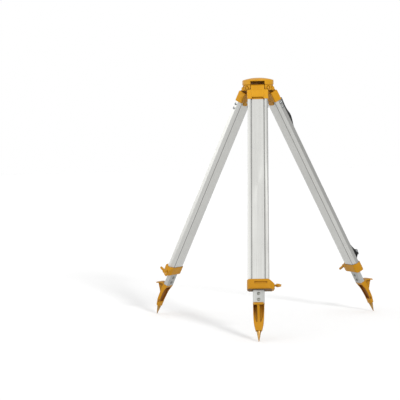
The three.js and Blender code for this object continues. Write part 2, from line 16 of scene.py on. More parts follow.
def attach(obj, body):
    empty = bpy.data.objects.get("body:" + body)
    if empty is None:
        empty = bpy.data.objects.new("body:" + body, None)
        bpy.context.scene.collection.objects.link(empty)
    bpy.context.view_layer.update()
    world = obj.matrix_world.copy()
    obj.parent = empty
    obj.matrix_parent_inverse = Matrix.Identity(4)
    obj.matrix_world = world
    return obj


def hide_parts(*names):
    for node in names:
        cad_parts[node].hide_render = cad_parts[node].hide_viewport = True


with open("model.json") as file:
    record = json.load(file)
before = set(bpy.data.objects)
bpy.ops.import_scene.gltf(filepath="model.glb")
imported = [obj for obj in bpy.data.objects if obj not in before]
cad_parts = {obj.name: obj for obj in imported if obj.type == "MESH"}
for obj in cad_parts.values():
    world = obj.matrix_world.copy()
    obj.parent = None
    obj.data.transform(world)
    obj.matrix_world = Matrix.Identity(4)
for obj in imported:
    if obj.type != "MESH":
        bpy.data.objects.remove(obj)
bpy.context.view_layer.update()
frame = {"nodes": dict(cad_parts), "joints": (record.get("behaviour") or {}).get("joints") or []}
NODES = frame["nodes"]
JOINTS = {joint["name"]: joint for joint in frame["joints"]}
LEGS = ("front", "right", "left")
MM = 0.001

# ---- places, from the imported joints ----


def facing(leg, up):
    """The turn that lays x across a leg, z along up, and -y towards the leg's outer face."""
    across = Vector(JOINTS[f"leg_{leg}_spread"]["axis"]).normalized()
    return Matrix((across, up.cross(across), up)).transposed().to_4x4()


def leg_frame(leg):
    """Matrix from a leg's own frame, in millimetres, to the shared frame, in metres."""
    up = -Vector(JOINTS[f"leg_{leg}_extend"]["axis"]).normalized()
    return Matrix.Translation(JOINTS[f"leg_{leg}_spread"]["pos_m"]) @ facing(leg, up) @ Matrix.Scale(MM, 4)


def station_frame(leg):
    """Matrix from the head's frame, turned so that a leg is at -y, to the shared frame."""
    return HEAD @ facing(leg, Vector((0, 0, 1)))


AXIS = Vector(JOINTS["screw_turn"]["pos_m"])
HEAD = Matrix.Translation(AXIS) @ Matrix.Scale(MM, 4)
LEG = {leg: leg_frame(leg) for leg in LEGS}
STATION = {leg: station_frame(leg) for leg in LEGS}

# ---- camera and light ----
CAMERA_DISTANCE = 5.0  # from the tripod's axis
CAMERA_HEIGHT = 0.709
CAMERA_SIDE = math.radians(1.68)  # how far round the tripod the camera stands
CAMERA_YAW = math.radians(2.76)
CAMERA_PITCH = math.radians(-2.49)
CAMERA_ROLL = math.radians(-1.31)
CAMERA_LENS = 112.7


def add_camera():
    """Before the tripod and a little to its right, aimed a little to the left of it."""
    data = bpy.data.cameras.new("camera")
    data.lens = CAMERA_LENS
    data.sensor_width = 36.0
    data.clip_end = 60.0
    camera = bpy.data.objects.new("camera", data)
    bpy.context.scene.collection.objects.link(camera)
    heading = CAMERA_SIDE + CAMERA_YAW
    forward = Vector((
        -math.sin(heading) * math.cos(CAMERA_PITCH),
        math.cos(heading) * math.cos(CAMERA_PITCH),
        math.sin(CAMERA_PITCH),
    ))
    level = Vector((math.cos(heading), math.sin(heading), 0))
    above = level.cross(forward)
    right = level * math.cos(CAMERA_ROLL) + above * math.sin(CAMERA_ROLL)
    top = above * math.cos(CAMERA_ROLL) - level * math.sin(CAMERA_ROLL)
    turn = Matrix((right, top, -forward)).transposed().to_4x4()
    spot = Vector((
        AXIS.x + CAMERA_DISTANCE * math.sin(CAMERA_SIDE),
        AXIS.y - CAMERA_DISTANCE * math.cos(CAMERA_SIDE),
        CAMERA_HEIGHT,
    ))
    camera.matrix_world = Matrix.Translation(spot) @ turn
    bpy.context.scene.camera = camera


# The light from around the tripod, as (place from left to right, level) along the horizon.
HORIZON_LEVELS = ((0.0, 0.95), (0.22, 0.85), (0.42, 0.48), (0.5, 0.36), (0.58, 0.3), (1.0, 0.3))
CEILING_LEVEL = 0.42  # straight overhead
WORLD_STRENGTH = 1.5
SUNS = (  # name, degrees round to the right of the tripod's front, degrees up, softness, power
    ("low", 27, 22, 9, 1.6),
    ("high", -60, 50, 120, 0.5),
)
FLOOR_HALF = 30.0
FLOOR_GLOW = 0.08
FLOOR_TO_TRIPOD = 0.62  # the floor's colour in the light that it throws back on the tripod
FLOOR_TO_CAMERA = 0.96
MIX_FACTOR, MIX_A, MIX_B, MIX_RESULT = 0, 6, 7, 2  # sockets of a Mix node set to colours


def add_sun(name, side, height, softness, power):
    """A far lamp, as SUNS gives it. The wider its softness in degrees, the softer its shadows."""
    data = bpy.data.lights.new(name, "SUN")
    data.energy = power
    data.angle = math.radians(softness)
    light = bpy.data.objects.new(name, data)
    bpy.context.scene.collection.objects.link(light)
    side, height = math.radians(side), math.radians(height)
    towards = Vector((
        math.sin(side) * math.cos(height),
        -math.cos(side) * math.cos(height),
        math.sin(height),
    ))
    light.rotation_euler = (-towards).to_track_quat("-Z", "Y").to_euler()


def add_world():
    """White to the camera. As a light it falls off from left to right, and fades into the ceiling."""
    world = bpy.data.worlds.new("studio")
    bpy.context.scene.world = world
    world.use_nodes = True
    tree = world.node_tree
    tree.nodes.clear()
    out = tree.nodes.new("ShaderNodeOutputWorld")
    seen = tree.nodes.new("ShaderNodeBackground")
    lit = tree.nodes.new("ShaderNodeBackground")
    seen.inputs["Color"].default_value = (1, 1, 1, 1)
    lit.inputs["Strength"].default_value = WORLD_STRENGTH
    coordinate = tree.nodes.new("ShaderNodeTexCoord")
    split = tree.nodes.new("ShaderNodeSeparateXYZ")
    sideways = tree.nodes.new("ShaderNodeMapRange")
    sideways.inputs["From Min"].default_value = -1.0
    sideways.inputs["From Max"].default_value = 1.0
    ramp = tree.nodes.new("ShaderNodeValToRGB")
    ramp.color_ramp.interpolation = "EASE"
    while len(ramp.color_ramp.elements) < len(HORIZON_LEVELS):
        ramp.color_ramp.elements.new(0.5)
    for element, (position, level) in zip(ramp.color_ramp.elements, HORIZON_LEVELS):
        element.position = position
        element.color = (level, level, level, 1)
    upward = tree.nodes.new("ShaderNodeMix")
    upward.data_type = "RGBA"
    upward.inputs[MIX_B].default_value = (CEILING_LEVEL, CEILING_LEVEL, CEILING_LEVEL, 1)
    path = tree.nodes.new("ShaderNodeLightPath")
    mix = tree.nodes.new("ShaderNodeMixShader")
    tree.links.new(coordinate.outputs["Generated"], split.inputs[0])
    tree.links.new(split.outputs["X"], sideways.inputs["Value"])
    tree.links.new(sideways.outputs["Result"], ramp.inputs["Fac"])
    tree.links.new(split.outputs["Z"], upward.inputs[MIX_FACTOR])
    tree.links.new(ramp.outputs["Color"], upward.inputs[MIX_A])
    tree.links.new(upward.outputs[MIX_RESULT], lit.inputs["Color"])
    tree.links.new(path.outputs["Is Camera Ray"], mix.inputs["Fac"])
    tree.links.new(lit.outputs[0], mix.inputs[1])
    tree.links.new(seen.outputs[0], mix.inputs[2])
    tree.links.new(mix.outputs[0], out.inputs["Surface"])


def add_floor():
    """A pale matt floor, white to the camera and greyer in what the tripod picks up from it."""
    mesh = bpy.data.meshes.new("floor")
    half = FLOOR_HALF
    corners = [(-half, -half, 0), (half, -half, 0), (half, half, 0), (-half, half, 0)]
    mesh.from_pydata(corners, [], [(0, 1, 2, 3)])
    floor = bpy.data.objects.new("floor", mesh)
    bpy.context.scene.collection.objects.link(floor)
    material = bpy.data.materials.new("floor")
    material.use_nodes = True
    tree = material.node_tree
    shader = tree.nodes["Principled BSDF"]
    shader.inputs["Roughness"].default_value = 1.0
    shader.inputs["Specular IOR Level"].default_value = 0.0
    shader.inputs["Emission Color"].default_value = (1, 1, 1, 1)
    shader.inputs["Emission Strength"].default_value = FLOOR_GLOW
    path = tree.nodes.new("ShaderNodeLightPath")
    ramp = tree.nodes.new("ShaderNodeValToRGB")
    for element, level in zip(ramp.color_ramp.elements, (FLOOR_TO_TRIPOD, FLOOR_TO_CAMERA)):
        element.color = (level, level, level, 1)
    tree.links.new(path.outputs["Is Camera Ray"], ramp.inputs["Fac"])
    tree.links.new(ramp.outputs["Color"], shader.inputs["Base Color"])
    mesh.materials.append(material)


def add_lights():
    add_world()
    for sun in SUNS:
        add_sun(*sun)
    bpy.context.scene.view_settings.view_transform = "Standard"


# ---- shader helpers ----

# Places on a leg, in metres: across from its middle, behind its line, and down it.
RAIL_CROWN_START = 0.0275
RAIL_CROWN = 20  # the rails fall away by this times the square of the distance past their start
FLANK_START = 0.0388  # the side faces of an upper leg, darkened with painted shade
SEAM_MIDDLE = 0.029  # the corner seams down the back of an upper leg, drawn as painted shadow lines
SEAM_HALF = 0.0014
SEAM_DEPTH = 0.0112
HOLLOW_HALF = 0.0182  # the hollow back of a foot, which gets painted shade
HOLLOW_BEHIND = (-0.0058, 0.0)
HOLLOW_DOWN = (0.914, 0.991)
# How far down a leg the lower face of a clamp lies, which gets painted shade.
CLAMP_BOTTOM = (0.8531, 0.858)


class Shader:
    """A principled material with short calls for the nodes that the materials here share."""

    def __init__(self, name, place=None):
        self.material = bpy.data.materials.new(name)
        self.material.use_nodes = True
        self.tree = self.material.node_tree
        self.bsdf = self.tree.nodes["Principled BSDF"]
        coordinate = self.tree.nodes.new("ShaderNodeTexCoord")
        self.here = coordinate.outputs["Object"]
        if place is not None:
            inverse = self.tree.nodes.new("ShaderNodeMapping")
            inverse.vector_type = "TEXTURE"
            inverse.inputs["Location"].default_value = place.to_translation()
            inverse.inputs["Rotation"].default_value = place.to_euler()
            self.tree.links.new(self.here, inverse.inputs["Vector"])
            self.here = inverse.outputs["Vector"]

    def set(self, **values):
        """Sets shader sockets by name, with underscores for spaces."""
        for key, value in values.items():
            self.bsdf.inputs[key.replace("_", " ")].default_value = value
        return self

    def link(self, source, socket):
        self.tree.links.new(source, self.bsdf.inputs[socket])

    def _feed(self, node, socket, value):
        """Links a socket into a node, or sets the node's own value."""
        if isinstance(value, bpy.types.NodeSocket):
            self.tree.links.new(value, node.inputs[socket])
        else:
            node.inputs[socket].default_value = value

    def stretched(self, x, y, z):
        """The coordinates scaled by x, y and z."""
        node = self.tree.nodes.new("ShaderNodeMapping")
        node.inputs["Scale"].default_value = (x, y, z)
        self.tree.links.new(self.here, node.inputs["Vector"])
        return node.outputs["Vector"]

    def noise(self, scale, detail=3.0, roughness=0.5, vector=None):
        node = self.tree.nodes.new("ShaderNodeTexNoise")
        node.inputs["Scale"].default_value = scale
        node.inputs["Detail"].default_value = detail
        node.inputs["Roughness"].default_value = roughness
        self.tree.links.new(vector or self.here, node.inputs["Vector"])
        return node.outputs["Fac"]

    def bands(self, scale, axis):
        node = self.tree.nodes.new("ShaderNodeTexWave")
        node.bands_direction = axis
        node.inputs["Scale"].default_value = scale
        self.tree.links.new(self.here, node.inputs["Vector"])
        return node.outputs["Fac"]

    def ramp(self, value, *stops):
        """Maps a value through (position, colour or grey) stops."""
        node = self.tree.nodes.new("ShaderNodeValToRGB")
        elements = node.color_ramp.elements
        while len(elements) < len(stops):
            elements.new(0.5)
        for element, (position, colour) in zip(elements, stops):
            element.position = position
            shade = colour if isinstance(colour, tuple) else (colour,) * 3
            element.color = (*shade, 1)
        self.tree.links.new(value, node.inputs["Fac"])
        return node.outputs["Color"]

    def mix(self, factor, a, b):
        """Goes from a to b as the factor goes from 0 to 1."""
        node = self.tree.nodes.new("ShaderNodeMix")
        node.data_type = "RGBA"
        self._feed(node, MIX_FACTOR, factor)
        for socket, value in ((MIX_A, a), (MIX_B, b)):
            self._feed(node, socket, (*value, 1) if isinstance(value, tuple) else value)
        return node.outputs[MIX_RESULT]

    def maths(self, operation, a, b=0.0):
        node = self.tree.nodes.new("ShaderNodeMath")
        node.operation = operation
        self._feed(node, 0, a)
        self._feed(node, 1, b)
        return node.outputs[0]

    def cavity(self, distance):
        """1 on open surfaces, falling towards 0 deep in recesses."""
        node = self.tree.nodes.new("ShaderNodeAmbientOcclusion")
        node.samples = 8
        node.inputs["Distance"].default_value = distance
        return node.outputs["AO"]

    def leg_place(self):
        """How far a point is across from the leg's middle, behind its line, and down it."""
        split = self.tree.nodes.new("ShaderNodeSeparateXYZ")
        self.tree.links.new(self.here, split.inputs[0])
        down = self.maths("MULTIPLY", split.outputs["Z"], -1.0)
        return self.maths("ABSOLUTE", split.outputs["X"], 0.0), split.outputs["Y"], down

    def between(self, value, low, high):
        """1 where a value is between two others, and 0 elsewhere."""
        above = self.maths("GREATER_THAN", value, low)
        return self.maths("MULTIPLY", above, self.maths("LESS_THAN", value, high))

    def foot_hollow_shade(self):
        """1 inside the hollow back of a foot, in a leg's own coordinates: where painted shade goes."""
        across, behind, down = self.leg_place()
        inside = self.maths("LESS_THAN", across, HOLLOW_HALF)
        back = self.maths("MULTIPLY", inside, self.between(behind, *HOLLOW_BEHIND))
        return self.maths("MULTIPLY", back, self.between(down, *HOLLOW_DOWN))

    def clamp_underside_shade(self):
        """1 on the lower face of a clamp, where painted shade goes."""
        _, _, down = self.leg_place()
        return self.between(down, *CLAMP_BOTTOM)

    def rail_height(self):
        """How far the crowned rails of an upper leg fall away from flat, in metres."""
        across, _, _ = self.leg_place()
        beyond = self.maths("MAXIMUM", self.maths("SUBTRACT", across, RAIL_CROWN_START), 0.0)
        return self.maths("MULTIPLY", self.maths("MULTIPLY", beyond, beyond), -RAIL_CROWN)

    def edges(self):
        """Over 0.5 on outer edges, and under it in creases."""
        node = self.tree.nodes.new("ShaderNodeNewGeometry")
        return node.outputs["Pointiness"]

    def bump(self, height, strength, distance, normal=None):
        node = self.tree.nodes.new("ShaderNodeBump")
        node.inputs["Strength"].default_value = strength
        node.inputs["Distance"].default_value = distance
        self.tree.links.new(height, node.inputs["Height"])
        if normal is not None:
            self.tree.links.new(normal, node.inputs["Normal"])
        return node.outputs["Normal"]


def srgb(text):
    """Linear colour from a hexadecimal display colour."""
    parts = [int(text[i:i + 2], 16) / 255 for i in (0, 2, 4)]
    return tuple(c / 12.92 if c <= 0.04045 else ((c + 0.055) / 1.055) ** 2.4 for c in parts)


# ---- materials ----
# Colours of painted shade in the castings' paint, and of worn paint at the edges.
PAINTED_RECESS_SHADE = srgb("5e2600")
PAINTED_HOLLOW_SHADE = srgb("642a02")
PAINTED_UNDERSIDE_SHADE = srgb("5c4528")
CHIP_TONE = srgb("f0c56a")


def casting_paint(name, low, high, place=None):
    """Orange-yellow enamel on a casting: slight orange peel, painted shade in the recesses and, on a leg, in
    the hollow of the foot and under the clamp; worn at the edges.
    """
    s = Shader(name, place).set(Coat_Weight=0.08, Coat_Roughness=0.2, IOR=1.4, Specular_IOR_Level=0.28)
    drift = s.ramp(s.noise(14, 4), (0.35, srgb(low)), (0.65, srgb(high)))
    # Painted shade: the paint goes dark brown where ambient occlusion finds a recess, up to 35 mm deep.
    deep = s.mix(s.ramp(s.cavity(0.035), (0.1, 1.0), (0.8, 0.0)), drift, PAINTED_RECESS_SHADE)
    if place is not None:
        # Painted shade in the hollow back of the foot.
        deep = s.mix(s.maths("MULTIPLY", s.foot_hollow_shade(), 0.75), deep, PAINTED_HOLLOW_SHADE)
        # Painted shade on the lower face of the clamp.
        deep = s.mix(s.maths("MULTIPLY", s.clamp_underside_shade(), 0.8), deep, PAINTED_UNDERSIDE_SHADE)
    on_edge = s.maths("GREATER_THAN", s.edges(), 0.57)
    chips = s.maths("MULTIPLY", on_edge, s.maths("GREATER_THAN", s.noise(260, 3), 0.66))
    s.link(s.mix(chips, deep, CHIP_TONE), "Base Color")
    s.link(s.ramp(s.noise(45, 5, 0.6), (0.3, 0.30), (0.7, 0.46)), "Roughness")
    peel = s.bump(s.noise(750, 2), 0.10, 0.0006)
    s.link(s.bump(s.noise(70, 3), 0.10, 0.003, peel), "Normal")
    return s.material


def extruded(name, place, shade, roughness, crown=False, flank_shade=0.0):
    """Extruded aluminium: die lines along the leg, faint stains and painted shade in the recesses.

    An upper leg has crowned rails too, painted shadow lines along its back seams, and flank_shade is how
    much painted shade darkens its side faces.
    """
    s = Shader(name, place).set(Metallic=1.0, Anisotropic=0.35)
    lines = s.noise(1.0, 3, 0.6, s.stretched(1600, 1600, 3))
    broad = s.noise(1.0, 2, 0.5, s.stretched(260, 260, 2))
    stains = s.noise(9, 5, 0.62)
    dark = tuple(c * 0.9 for c in shade)
    tone = s.mix(s.ramp(lines, (0.35, 0.0), (0.65, 1.0)), dark, shade)
    tone = s.mix(s.ramp(stains, (0.55, 0.0), (0.75, 0.35)), tone, tuple(c * 0.8 for c in shade))
    # Painted shade: darker in the grooves and recesses that ambient occlusion finds.
    tone = s.mix(s.ramp(s.cavity(0.007), (0.3, 1.0), (0.85, 0.0)), tone, tuple(c * 0.3 for c in shade))
    if crown:
        across, behind, _ = s.leg_place()
        # Painted shade: the side faces go darker by flank_shade, and the back seams get painted shadow
        # lines.
        painted_dark = tuple(c * 0.1 for c in shade)
        side_face = s.maths("GREATER_THAN", across, FLANK_START)
        tone = s.mix(s.maths("MULTIPLY", side_face, flank_shade), tone, painted_dark)
        # Painted shadow lines along the back seams.
        seam_shadow_band = s.between(across, SEAM_MIDDLE - SEAM_HALF, SEAM_MIDDLE + SEAM_HALF)
        seam_shadow = s.maths("MULTIPLY", seam_shadow_band, s.maths("GREATER_THAN", behind, SEAM_DEPTH))
        tone = s.mix(s.maths("MULTIPLY", seam_shadow, 0.6), tone, painted_dark)
    s.link(tone, "Base Color")
    line_rough = s.ramp(lines, (0.3, roughness - 0.08), (0.7, roughness + 0.1))
    stain_rough = s.ramp(stains, (0.3, roughness - 0.05), (0.8, roughness + 0.14))
    s.link(s.mix(0.5, line_rough, stain_rough), "Roughness")
    drawn = s.bump(broad, 0.12, 0.0006, s.bump(lines, 0.18, 0.0002))
    s.link(s.bump(s.rail_height(), 1.0, 1.0, drawn) if crown else drawn, "Normal")
    return s.material


def plated(name, low, high, roughness):
    """Plated steel or turned brass, with small tone changes and fine scratches."""
    s = Shader(name).set(Metallic=1.0)
    s.link(s.ramp(s.noise(160, 4, 0.6), (0.3, low), (0.7, high)), "Base Color")
    s.link(s.ramp(s.noise(320, 3), (0.3, roughness - 0.08), (0.7, roughness + 0.12)), "Roughness")
    s.link(s.bump(s.noise(900, 2), 0.08, 0.0003), "Normal")
    return s.material


def moulded(name, shade):
    """Moulded black plastic with a fine spark-eroded grain."""
    s = Shader(name).set(IOR=1.48)
    s.link(s.ramp(s.noise(60, 3), (0.3, shade), (0.7, tuple(c * 1.5 for c in shade))), "Base Color")
    s.link(s.ramp(s.noise(400, 2), (0.3, 0.42), (0.7, 0.58)), "Roughness")
    s.link(s.bump(s.noise(1500, 2), 0.25, 0.0003), "Normal")
    return s.material


def woven(name, place):
    """Black polypropylene webbing: ribs along the strap, broken by the weft across it."""
    s = Shader(name, place).set(Sheen_Weight=0.35, Sheen_Roughness=0.45, Roughness=0.78)
    ribs = s.bands(95, "X")
    weft = s.bands(110, "Z")
    weave = s.maths("MULTIPLY", ribs, s.maths("ADD", s.maths("MULTIPLY", weft, 0.6), 0.4))
    fuzz = s.noise(900, 3)
    s.link(s.mix(weave, srgb("0b0b0c"), srgb("303134")), "Base Color")
    s.link(s.bump(weave, 0.55, 0.0007, s.bump(fuzz, 0.2, 0.0003)), "Normal")
    return s.material


def unscaled(matrix):
    """The same place and turn in metres, for a shader's coordinates."""
    place, turn, _ = matrix.decompose()
    return Matrix.LocRotScale(place, turn, None)


# How much painted shade darkens the side faces of each upper leg; the legs differ by how the light falls on
# them.
FLANK_SHADE = {"front": 0.25, "right": 0.35, "left": 0.0}
LEG_PLACE = {leg: unscaled(LEG[leg]) for leg in LEGS}
PAINT = casting_paint("casting_paint", "cb9014", "d4991c")
# The paint of the clamp, wing screw and foot of each leg, darker than the head's paint as painted shade on
# these lower parts.
SHADED_LOW_PAINT = {leg: casting_paint(f"casting_paint_{leg}", "b57d0c", "be8510", LEG_PLACE[leg]) for leg in LEGS}
STEEL = plated("bright_steel", srgb("8e9193"), srgb("b9bbbc"), 0.34)
DARK_STEEL = plated("dark_steel", srgb("7c7d78"), srgb("a2a39c"), 0.42)
SPIKE_STEEL = plated("spike_steel", srgb("a87c3c"), srgb("d6b070"), 0.36)
BRASS = plated("brass", srgb("a88342"), srgb("cda862"), 0.30)
PLASTIC = moulded("black_plastic", srgb("17181a"))
WEBBING = woven("black_webbing", LEG_PLACE["right"])
TUBE = {
    leg: extruded(f"aluminium_upper_{leg}", LEG_PLACE[leg], srgb("eaeae6"), 0.29, True, FLANK_SHADE[leg])
    for leg in LEGS
}
SLIDE = {leg: extruded(f"aluminium_lower_{leg}", LEG_PLACE[leg], srgb("c6c7c4"), 0.42) for leg in LEGS}

# ---- mesh helpers ----


def piece(name, bm, place, material, body, node, sharp=35.0):
    """A finished piece from a bmesh drawn in place's frame. It stands for a CAD node, if one is named.

    Faces that meet at more than sharp degrees keep a hard edge.
    """
    bmesh.ops.recalc_face_normals(bm, faces=bm.faces)
    mesh = bpy.data.meshes.new(name)
    bm.to_mesh(mesh)
    bm.free()
    mesh.transform(place)
    mesh.materials.append(material)
    mesh.shade_smooth()
    mesh.set_sharp_from_angle(angle=math.radians(sharp))
    made = bpy.data.objects.new(name, mesh)
    bpy.context.scene.collection.objects.link(made)
    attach(made, body)
    if node:
        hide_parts(node)
    return made


def revolve(bm, outline, segments, turn=None):
    """Adds a closed solid of revolution about z. A radius may be a function of the angle."""
    rings = []
    for radius, height in outline:
        if not callable(radius) and radius < 1e-6:
            rings.append([bm.verts.new((0, 0, height))])
            continue
        ring = []
        for i in range(segments):
            a = 2 * math.pi * i / segments
            r = radius(a) if callable(radius) else radius
            ring.append(bm.verts.new((r * math.cos(a), r * math.sin(a), height)))
        rings.append(ring)
    pairs = list(zip(rings, rings[1:]))
    if len(rings[0]) > 1:
        pairs.append((rings[-1], rings[0]))
    for low, high in pairs:
        for i in range(segments):
            j = (i + 1) % segments
            corners = [low[i % len(low)], low[j % len(low)], high[j % len(high)], high[i % len(high)]]
            unique = list(dict.fromkeys(corners))
            if len(unique) > 2:
                bm.faces.new(unique)
    if turn is not None:
        made = [v for ring in rings for v in ring]
        bmesh.ops.transform(bm, matrix=turn, verts=made)


def prism(bm, outline, z0, z1):
    """Adds a closed prism from an (x, y) outline, and gives its vertices."""
    low = [bm.verts.new((x, y, z0)) for x, y in outline]
    high = [bm.verts.new((x, y, z1)) for x, y in outline]
    bm.faces.new(low)
    bm.faces.new(high)
    count = len(outline)
    for i in range(count):
        j = (i + 1) % count
        bm.faces.new((low[i], low[j], high[j], high[i]))
    return low + high


def temporary(bm, name="tool"):
    """An object that holds a bmesh while it is cut, or cuts."""
    bmesh.ops.recalc_face_normals(bm, faces=bm.faces)
    mesh = bpy.data.meshes.new(name)
    bm.to_mesh(mesh)
    bm.free()
    made = bpy.data.objects.new(name, mesh)
    bpy.context.scene.collection.objects.link(made)
    return made


def applied(source):
    """The mesh of an object with its modifiers applied."""
    bpy.context.view_layer.update()
    ready = source.evaluated_get(bpy.context.evaluated_depsgraph_get())
    return bpy.data.meshes.new_from_object(ready)


def carved(bm, cutters):
    """The bmesh less each cutter, as a new bmesh."""
    blank = temporary(bm, "blank")
    tools = [temporary(cutter) for cutter in cutters]
    for tool in tools:
        modifier = blank.modifiers.new("cut", "BOOLEAN")
        modifier.operation = "DIFFERENCE"
        modifier.solver = "EXACT"
        modifier.object = tool
    mesh = applied(blank)
    for used in [blank, *tools]:
        bpy.data.objects.remove(used)
    made = bmesh.new()
    made.from_mesh(mesh)
    bpy.data.meshes.remove(mesh)
    return made


def soften(target, voxel, rounds):
    """Gives every edge of a casting a small cast radius."""
    remesh = target.modifiers.new("skin", "REMESH")
    remesh.mode = "VOXEL"
    remesh.voxel_size = voxel * MM
    remesh.adaptivity = 0.0
    remesh.use_smooth_shade = True
    smooth = target.modifiers.new("cast_radius", "SMOOTH")
    smooth.factor = 0.5
    smooth.iterations = rounds


def crisp(target, width):
    """Breaks the sharp edges of a machined or extruded node."""
    weld = target.modifiers.new("weld", "WELD")
    weld.merge_threshold = 1e-5
    flat = target.modifiers.new("flat", "DECIMATE")
    flat.decimate_type = "DISSOLVE"
    flat.angle_limit = math.radians(0.4)
    bevel = target.modifiers.new("edge", "BEVEL")
    bevel.width = width * MM
    bevel.segments = 2
    bevel.limit_method = "ANGLE"
    bevel.angle_limit = math.radians(32)
    bevel.use_clamp_overlap = True
    normals = target.modifiers.new("normals", "WEIGHTED_NORMAL")
    normals.keep_sharp = False


def dress(node, material):
    """Gives a CAD node its finished material and smooth faces."""
    mesh = NODES[node].data
    mesh.materials.clear()
    mesh.materials.append(material)
    mesh.shade_smooth()
    return NODES[node]


def skin(bm, rings):
    """Adds a closed tube through rings of vertices, with flat ends."""
    count = len(rings[0])
    for low, high in zip(rings, rings[1:]):
        for k in range(count):
            j = (k + 1) % count
            bm.faces.new((low[k], low[j], high[j], high[k]))
    bm.faces.new(rings[0])
    bm.faces.new(rings[-1])


def wire(bm, points, radius, sides=14):
    """Adds a round wire through points, with flat ends."""
    tangents = []
    for i in range(len(points)):
        ahead = points[min(i + 1, len(points) - 1)]
        tangents.append((ahead - points[max(i - 1, 0)]).normalized())
    normal = tangents[0].orthogonal().normalized()
    rings = []
    for point, tangent in zip(points, tangents):
        normal = (normal - tangent * normal.dot(tangent)).normalized()
        side = tangent.cross(normal)
        ring = []
        for k in range(sides):
            a = 2 * math.pi * k / sides
            ring.append(bm.verts.new(point + (normal * math.cos(a) + side * math.sin(a)) * radius))
        rings.append(ring)
    skin(bm, rings)


def curve(points, steps):
    """Points of a smooth curve through the given ones, steps to each span."""
    made = []
    count = len(points)
    for i in range(count - 1):
        before = points[max(i - 1, 0)]
        after = points[min(i + 2, count - 1)]
        for k in range(steps):
            t = k / steps
            a = -t + 2 * t ** 2 - t ** 3
            b = 2 - 5 * t ** 2 + 3 * t ** 3
            c = t + 4 * t ** 2 - 3 * t ** 3
            d = -t ** 2 + t ** 3
            made.append((before * a + points[i] * b + points[i + 1] * c + after * d) * 0.5)
    made.append(points[-1])
    return made


def box_tool(x0, x1, y0, y1, z0, z1, turn):
    """A box from its limits, then turned."""
    bm = bmesh.new()
    made = prism(bm, [(x0, y0), (x1, y0), (x1, y1), (x0, y1)], z0, z1)
    bmesh.ops.transform(bm, matrix=turn, verts=made)
    return bm


def bar_tool(start, end, radius, segments=48):
    """A round or many-sided bar between two points."""
    start, end = Vector(start), Vector(end)
    length = (end - start).length
    turn = Matrix.Translation(start) @ (end - start).to_track_quat("Z", "Y").to_matrix().to_4x4()
    bm = bmesh.new()
    revolve(bm, [(0, 0), (radius, 0), (radius, length), (0, length)], segments, turn)
    return bm


# ---- head, in millimetres from where its axis meets the plane of the hinges ----
RIM_TOP = 32.5
DOME_RISE = 10.4
DOME_CURVE = 380  # twice the dome's radius
HOLE_RADIUS = 20
SLOT_TURNS = (0, 120, 240)
SLOT_HALF = 28
SLOT_TOP = 27
HINGE_AT = 42  # from the axis
HINGE_BORE = 5.08
POCKET_START = 38.5
POCKET_RADIUS = 9.6
SEAT = POCKET_START + 0.3  # of the bolt's head and the nut
PIVOT_AT = 44  # the centring arm's rivet, behind the axis
PIVOT_BORE = 4.08
PAST_RIM = 70


def dome_height(radius):
    return RIM_TOP + DOME_RISE - radius ** 2 / DOME_CURVE


def head_outline():
    """Half of the head's section, as (radius, height), up the outside and back to the middle hole."""
    dome = [(61.0 - 2.0 * i, dome_height(61.0 - 2.0 * i)) for i in range(21)]
    return [
        (HOLE_RADIUS, -8.5), (55, -8.5), (57.4, -7.7), (59.2, -5.6), (60, -3.5), (60, 11.7), (58.4, 12.3),
        (58.4, 13.5), (62, 14.3), (62, 30.6), (61.7, 31.9), *dome, (HOLE_RADIUS, dome_height(21) - 1),
    ]


def head_cutters():
    """The hollow under the dome, the rivet's hole, and each leg's slot, bolt hole and two pockets."""
    hollow = bmesh.new()
    revolve(hollow, [(0, 20), (30, 20), (30, 27.5), (26, 33.5), (0, 33.5)], 96)
    cutters = [hollow, bar_tool((0, PIVOT_AT, -10), (0, PIVOT_AT, 6), PIVOT_BORE)]
    for degrees in SLOT_TURNS:
        turn = Matrix.Rotation(math.radians(degrees), 4, "Z")
        left = turn @ Vector((-PAST_RIM, -HINGE_AT, 0))
        right = turn @ Vector((PAST_RIM, -HINGE_AT, 0))
        cutters.append(box_tool(-SLOT_HALF, SLOT_HALF, -80, 0, -10, SLOT_TOP, turn))
        cutters.append(bar_tool(left, right, HINGE_BORE))
        for side, far in ((-1, left), (1, right)):
            near = turn @ Vector((side * POCKET_START, -HINGE_AT, 0))
            cutters.append(bar_tool(near, far, POCKET_RADIUS))
    return cutters


def make_head():
    """The turned casting with its slots and pockets."""
    blank = bmesh.new()
    revolve(blank, head_outline(), 160)
    head = carved(blank, head_cutters())
    body = piece("head_body", head, HEAD, PAINT, "head", "head_casting")
    soften(body, voxel=0.85, rounds=5)


def chamfered_hex(radius, length):
    """A hexagon along +z whose outer corners are turned off."""
    corners = [math.radians(60 * i) for i in range(6)]
    hexagon = bmesh.new()
    prism(hexagon, [(radius * math.cos(a), radius * math.sin(a)) for a in corners], 0, length)
    ring = bmesh.new()
    flat = radius * 0.9
    outer = radius + 2
    revolve(ring, [
        (flat, length + 1), (outer, length + 1), (outer, length - 1.6), (radius, length - 0.9),
        (flat, length),
    ], 48)
    return carved(hexagon, [ring])


